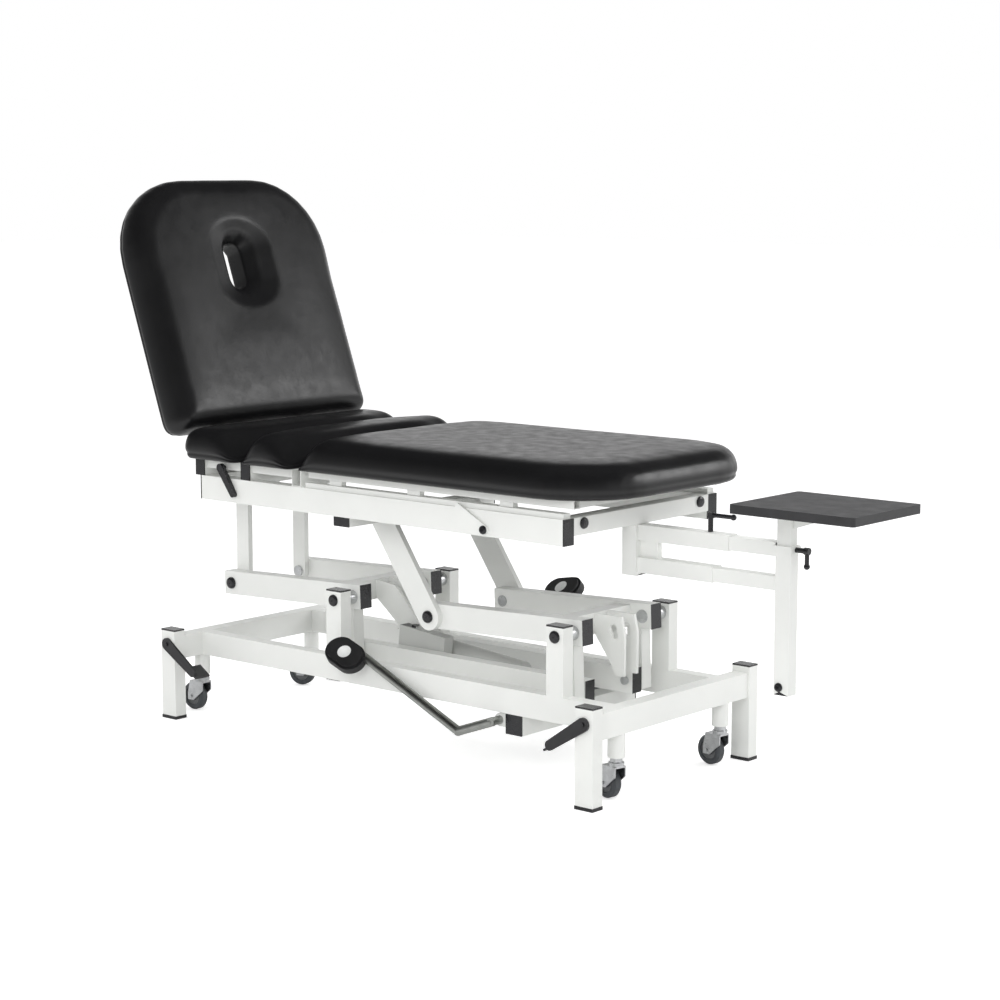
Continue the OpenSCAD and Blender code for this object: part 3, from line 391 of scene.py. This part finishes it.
TUBES = [
    "base_legs", "base_end_rails", "base_side_rails", "lift_posts", "head_arms", "foot_arms", "tie_bars",
    "top_side_rails", "top_cross_tubes", "pad_bearers", "platform_bracket", "platform_carriage",
    "platform_mast", "slide_frame", "head_frame", "pump_cross_tube",
]
PLATES = [
    "hanger_posts", "hanger_struts", "head_hinge_ears", "head_rocker_shaft", "foot_rocker_shaft", "leg_feet",
    "base_caps", "top_caps", "castor_lever_head", "castor_lever_foot", "hydraulic_pump", "ram_cylinder",
    "platform_board", "slide_lock_lever", "head_release_lever", "seat_boards", "slide_board", "head_board",
]
for tube in TUBES:
    soften_edges(tube, TUBE_EDGE)
for plate in PLATES:
    soften_edges(plate, PLATE_EDGE)
for pedal in TREADS:
    soften_edges(pedal, PEDAL_EDGE, PEDAL_ANGLE)


# Padding

HINGE = Vector((-0.622, 0.0, 0.724))
HEAD_ANGLE = math.radians(70.5)


def link_object(name, mesh):
    made = bpy.data.objects.new(name, mesh)
    bpy.context.scene.collection.objects.link(made)
    return made


def apply_modifiers(piece):
    """Fixes the piece's modifiers into its mesh."""
    graph = bpy.context.evaluated_depsgraph_get()
    mesh = bpy.data.meshes.new_from_object(piece.evaluated_get(graph))
    piece.modifiers.clear()
    old = piece.data
    piece.data = mesh
    bpy.data.meshes.remove(old)


def points_of(mesh):
    flat = np.empty(len(mesh.vertices) * 3)
    mesh.vertices.foreach_get("co", flat)
    return flat.reshape(-1, 3)


def set_points(mesh, points):
    mesh.vertices.foreach_set("co", points.ravel())
    mesh.update()


def smooth_shading(mesh):
    mesh.polygons.foreach_set("use_smooth", [True] * len(mesh.polygons))


# How far the cover may swell, the share of it that is kept, and the depth of its held lower edge
SWELL_CAP = 18 * MM
SWELL_SHARE = 0.25
PIN_DEPTH = 9 * MM
CLOTH_FRAMES = 20
EVEN_STEPS = 24
RELAX_STEPS = 4


def even_out(mesh, moves):
    """Averages each point's move with its neighbours' moves, so that small creases go."""
    ends = np.empty(len(mesh.edges) * 2, dtype=int)
    mesh.edges.foreach_get("vertices", ends)
    first, second = ends.reshape(-1, 2).T
    count = np.bincount(ends, minlength=len(moves))[:, None]
    for step in range(EVEN_STEPS):
        total = np.zeros_like(moves)
        np.add.at(total, first, moves[second])
        np.add.at(total, second, moves[first])
        moves = (moves + total / count) / 2
    return moves


def swell(piece, voxel, base):
    """Blows the vinyl up over the foam: cloth under pressure, held along its lower edge."""
    remesh = piece.modifiers.new("remesh", "REMESH")
    remesh.mode = "VOXEL"
    remesh.voxel_size = voxel
    apply_modifiers(piece)
    start = points_of(piece.data)
    held = piece.vertex_groups.new(name="held")
    lower = [int(i) for i in np.nonzero(start[:, 2] < base + PIN_DEPTH)[0]]
    held.add(lower, 1.0, "REPLACE")
    cloth = piece.modifiers.new("cloth", "CLOTH")
    settings = cloth.settings
    settings.quality = 4
    settings.mass = 0.3
    settings.tension_stiffness = 22
    settings.compression_stiffness = 22
    settings.shear_stiffness = 14
    settings.bending_stiffness = 4
    settings.use_pressure = True
    settings.uniform_pressure_force = 2.6
    settings.vertex_group_mass = "held"
    settings.effector_weights.gravity = 0
    cloth.collision_settings.use_collision = False
    cloth.collision_settings.use_self_collision = False
    for step in range(1, CLOTH_FRAMES + 1):
        bpy.context.scene.frame_set(step)
    apply_modifiers(piece)
    bpy.context.scene.frame_set(1)
    moved = points_of(piece.data) - start
    length = np.linalg.norm(moved, axis=1, keepdims=True)
    moved *= np.minimum(1.0, SWELL_CAP / np.maximum(length, 1e-9))
    return start + even_out(piece.data, moved) * SWELL_SHARE


def refined(piece, points):
    """The piece's points once the cover has drawn out its small dents, with one subdivision."""
    set_points(piece.data, points)
    relax = piece.modifiers.new("relax", "SMOOTH")
    relax.factor = 0.5
    relax.iterations = RELAX_STEPS
    finer = piece.modifiers.new("finer", "SUBSURF")
    finer.levels = 1
    finer.render_levels = 1
    apply_modifiers(piece)
    return points_of(piece.data)


def flat_pose(points, angle):
    """Turns points about the head section's hinge, positive upwards."""
    turn = Matrix.Rotation(angle, 3, "Y")
    rotation = np.array(turn)
    pivot = np.array(HINGE)
    return (points - pivot) @ rotation.T + pivot


# Seam round a pad's side: its height over the board, its depth, its width and where the side wall begins
SEAM_RISE = 15 * MM
SEAM_DEPTH = 2.6 * MM
SEAM_WIDTH = 4.5 * MM
WALL_START = 0.8
WALL_BLEND = 0.1


def seam_groove(points, low, high):
    """Draws the side wall in along a seam at one height over the board."""
    centre = (low + high) / 2
    away = points[:, :2] - centre[:2]
    half = (high - low)[:2] / 2
    edge = np.maximum(np.abs(away[:, 0]) / half[0], np.abs(away[:, 1]) / half[1])
    near_side = np.clip((edge - WALL_START) / WALL_BLEND, 0, 1)
    pull = SEAM_DEPTH * np.exp(-(((points[:, 2] - low[2] - SEAM_RISE) / SEAM_WIDTH) ** 2)) * near_side
    inward = away / np.maximum(np.linalg.norm(away, axis=1, keepdims=True), 1e-9)
    points[:, :2] -= inward * pull[:, None]
    return points


# Where two pads meet: reach, drop, draw and base of the soft corners, then reach and drop of the valley
CORNER_REACH = (46 * MM, 95 * MM)
CORNER_DROP = 0.62
CORNER_DRAW = 12 * MM
CORNER_BASE = 30 * MM
VALLEY_REACH = 30 * MM
VALLEY_DROP = 0.14


def pinch(points, low, high, ends):
    """Sinks a pad where it meets its neighbour: a shallow valley across, and deep soft corners."""
    for end in ends:
        edge = low[0] if end < 0 else high[0]
        along = np.abs(points[:, 0] - edge)
        across = np.minimum(points[:, 1] - low[1], high[1] - points[:, 1])
        corner = np.exp(-((along / CORNER_REACH[0]) ** 2) - (across / CORNER_REACH[1]) ** 2)
        valley = np.exp(-((along / VALLEY_REACH) ** 2))
        rise = points[:, 2] - low[2]
        points[:, 2] = low[2] + rise * (1 - CORNER_DROP * corner) * (1 - VALLEY_DROP * valley)
        above = np.clip(rise / CORNER_BASE, 0, 1)
        points[:, 0] -= end * CORNER_DRAW * corner * above
        points[:, 1] -= np.sign(points[:, 1]) * CORNER_DRAW * corner * above
    return points


# Pocket for the board in a pad's solid, and the shallow one that its cushion keeps, since the board hides it
BOARD = 12 * MM
BOARD_TUCK = 2 * MM
BOARD_PLAY = 0.5 * MM

# How far the covers stand proud of the solids: at the head end, foot end, near side and far side
SEAT_PROUD = (5 * MM, 0, 5 * MM, 5 * MM)
SLIDE_PROUD = (0, 14 * MM, 5 * MM, 5 * MM)
HEAD_PROUD = (8 * MM, 0, 7 * MM, 17 * MM)

# Face opening of the head pad: its middle from the hinge, its length and width, and how its wall bulges
FACE_PLACE = 438 * MM
FACE_SIZE = (175 * MM, 108 * MM)
FACE_BULGE = 25 * MM
FACE_REACH = 42 * MM
FACE_MOUTH = 30 * MM
FACE_LIMIT = 0.8


def bulge_opening(points, high):
    """Lets the wall of the face opening swell inwards below its mouth."""
    away = points[:, :2] - np.array([HINGE.x - FACE_PLACE, 0])
    straight = (FACE_SIZE[0] - FACE_SIZE[1]) / 2
    away[:, 0] -= np.clip(away[:, 0], -straight, straight)
    distance = np.maximum(np.linalg.norm(away, axis=1), 1e-6)
    near = np.exp(-(((distance - FACE_SIZE[1] / 2) / FACE_REACH) ** 2))
    below = np.clip((high[2] - points[:, 2] - FACE_MOUTH / 2) / FACE_MOUTH, 0, 1)
    share = FACE_BULGE * near * below / distance
    points[:, :2] -= away * np.minimum(share, FACE_LIMIT)[:, None]
    return points


def cushion(name, node, body, voxel, proud, turned=0.0, ends=()):
    """One section's padding, grown from its CAD solid and fitted to it, a little proud at the sides."""
    mesh = nodes[node].data.copy()
    mesh.name = name
    piece = link_object(name, mesh)
    mesh.materials.clear()
    points = flat_pose(points_of(mesh), -turned)
    low, high = points.min(0), points.max(0)
    roof = np.abs(points[:, 2] - low[2] - BOARD) < BOARD_PLAY
    points[roof, 2] = low[2] + BOARD_TUCK
    set_points(mesh, points)
    points = refined(piece, swell(piece, voxel, low[2]))
    new_low, new_high = points.min(0), points.max(0)
    to_head, to_foot, to_near, to_far = proud
    low -= np.array([to_head, to_near, 0])
    high += np.array([to_foot, to_far, 0])
    points = low + (points - new_low) / (new_high - new_low) * (high - low)
    points = seam_groove(points, low, high)
    points = pinch(points, low, high, ends)
    if turned:
        points = bulge_opening(points, high)
    set_points(piece.data, flat_pose(points, turned))
    piece.data.materials.append(VINYL)
    smooth_shading(piece.data)
    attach(piece, body)
    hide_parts(node)


cushion("padding_seat_1", "seat_pad_1", "top_frame", 6 * MM, SEAT_PROUD, ends=(1,))
cushion("padding_seat_2", "seat_pad_2", "top_frame", 6 * MM, SEAT_PROUD, ends=(-1, 1))
cushion("padding_slide", "slide_pad", "slide_section", 8 * MM, SLIDE_PROUD, ends=(-1,))
cushion("padding_head", "head_pad", "head_section", 7 * MM, HEAD_PROUD, HEAD_ANGLE)


# Small fittings

def trim(name, body, material, build):
    """A small rigid piece that rides a body; build fills its mesh in metres."""
    mesh = bpy.data.meshes.new(name)
    build_mesh = bmesh.new()
    build(build_mesh)
    build_mesh.to_mesh(mesh)
    build_mesh.free()
    mesh.materials.append(material)
    piece = link_object(name, mesh)
    smooth_shading(mesh)
    mesh.set_sharp_from_angle(angle=math.radians(35))
    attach(piece, body)


def add_rod(build, start, end, radius, sides=20):
    """Round rod between two points."""
    start, end = Vector(start), Vector(end)
    turn = (end - start).to_track_quat("Z", "Y").to_matrix().to_4x4()
    place = Matrix.Translation((start + end) / 2) @ turn
    length = (end - start).length
    bmesh.ops.create_cone(
        build, cap_ends=True, segments=sides, radius1=radius, radius2=radius, depth=length, matrix=place)


DISC_RADIUS = 17 * MM
DISC_RISE = 0.8 * MM
DISC_SINK = 1.2 * MM
DISC_SIDES = 40
TREAD_PLAY = 0.5 * MM


def tread_disc(pedal):
    """White disc set in the middle of a pedal's tread."""
    centre, tip = TREADS[pedal]
    up = tread_turn(tip) @ Vector((0, 0, 1))
    top = centre + up * (TREAD_HALF.z - TREAD_PLAY)

    def build(mesh):
        add_rod(mesh, top - up * DISC_SINK, top + up * DISC_RISE, DISC_RADIUS, DISC_SIDES)

    trim(f"{pedal}_disc", pedal, DISC, build)


for pedal in TREADS:
    tread_disc(pedal)


# Stage: the camera alone sees the floor's glow, so that the floor meets the backdrop and keeps the shadow

FLOOR_GLOW = 0.55
FLOOR_HALF = 30
FLOOR_DROP = 0.5 * MM


def make_stage():
    floor_mesh = bpy.data.meshes.new("floor")
    build = bmesh.new()
    bmesh.ops.create_grid(build, x_segments=1, y_segments=1, size=FLOOR_HALF)
    build.to_mesh(floor_mesh)
    build.free()
    floor = link_object("floor", floor_mesh)
    floor.location.z = -FLOOR_DROP
    material, tree, shader, _ = new_material("floor_white")
    shader.inputs["Base Color"].default_value = (0.86, 0.86, 0.86, 1)
    shader.inputs["Roughness"].default_value = 0.9
    glow = tree.nodes.new("ShaderNodeMath")
    glow.operation = "MULTIPLY"
    glow.inputs[1].default_value = FLOOR_GLOW
    path = tree.nodes.new("ShaderNodeLightPath")
    tree.links.new(path.outputs["Is Camera Ray"], glow.inputs[0])
    shader.inputs["Emission Color"].default_value = (1, 1, 1, 1)
    tree.links.new(glow.outputs["Value"], shader.inputs["Emission Strength"])
    floor_mesh.materials.append(material)


def make_light(name, place, aim, size, power, mirrored):
    """Area lamp; only a mirrored one shows in glossy surfaces."""
    data = bpy.data.lights.new(name, "AREA")
    data.shape = "RECTANGLE"
    data.size, data.size_y = size
    data.energy = power
    lamp = bpy.data.objects.new(name, data)
    lamp.location = place
    lamp.rotation_euler = (Vector(aim) - Vector(place)).to_track_quat("-Z", "Y").to_euler()
    lamp.visible_glossy = mirrored
    bpy.context.scene.collection.objects.link(lamp)


# Light in the room, then what glossy surfaces see of it: bright at the horizon, dark overhead, dim in front
ROOM_LIGHT = 0.62
HORIZON = 1.3
CEILING = 0.03
HORIZON_SPAN = (0.05, 0.5)
FRONT_SHARE = 0.2
FRONT_SPAN = (-0.5, 0.4)


def background(tree, strength):
    """World light of one strength, or of a linked one."""
    node = tree.nodes.new("ShaderNodeBackground")
    node.inputs["Color"].default_value = (1, 1, 1, 1)
    if isinstance(strength, float):
        node.inputs["Strength"].default_value = strength
    else:
        tree.links.new(strength, node.inputs["Strength"])
    return node.outputs["Background"]


def make_world():
    """White for the camera, even room light, and for glossy surfaces a pale backdrop in a dim room."""
    world = bpy.data.worlds.new("world")
    world.use_nodes = True
    tree = world.node_tree
    tree.nodes.clear()
    output = tree.nodes.new("ShaderNodeOutputWorld")
    split = tree.nodes.new("ShaderNodeSeparateXYZ")
    tree.links.new(tree.nodes.new("ShaderNodeTexCoord").outputs["Generated"], split.inputs["Vector"])
    slope = ranged(tree, split.outputs["Z"], *HORIZON_SPAN, HORIZON, CEILING)
    depth = ranged(tree, split.outputs["Y"], *FRONT_SPAN, FRONT_SHARE, 1.0)
    pale = tree.nodes.new("ShaderNodeMath")
    pale.operation = "MULTIPLY"
    tree.links.new(slope, pale.inputs[0])
    tree.links.new(depth, pale.inputs[1])
    path = tree.nodes.new("ShaderNodeLightPath")
    mirrored = tree.nodes.new("ShaderNodeMixShader")
    tree.links.new(path.outputs["Is Glossy Ray"], mirrored.inputs["Fac"])
    tree.links.new(background(tree, ROOM_LIGHT), mirrored.inputs[1])
    tree.links.new(background(tree, pale.outputs["Value"]), mirrored.inputs[2])
    both = tree.nodes.new("ShaderNodeMixShader")
    tree.links.new(path.outputs["Is Camera Ray"], both.inputs["Fac"])
    tree.links.new(mirrored.outputs["Shader"], both.inputs[1])
    tree.links.new(background(tree, 1.0), both.inputs[2])
    tree.links.new(both.outputs["Shader"], output.inputs["Surface"])
    bpy.context.scene.world = world


# Lamps: name, place, point aimed at, width and height in metres, watts, and whether glossy surfaces show it
LAMPS = [
    ("overhead", (0.4, 0.2, 4.2), (0.1, 0, 0.6), (4.5, 3.0), 95, False),
    ("front", (2.4, -4.6, 2.6), (0.1, 0, 0.5), (2.6, 2.0), 75, False),
    ("side", (-3.6, -2.4, 2.2), (0, 0, 0.6), (2.0, 2.0), 30, False),
    ("far_right", (3.4, 3.6, 2.4), (0.2, 0, 0.8), (2.2, 1.6), 60, True),
]

make_stage()
make_world()
for lamp in LAMPS:
    make_light(*lamp)
bpy.context.scene.view_settings.view_transform = "Standard"
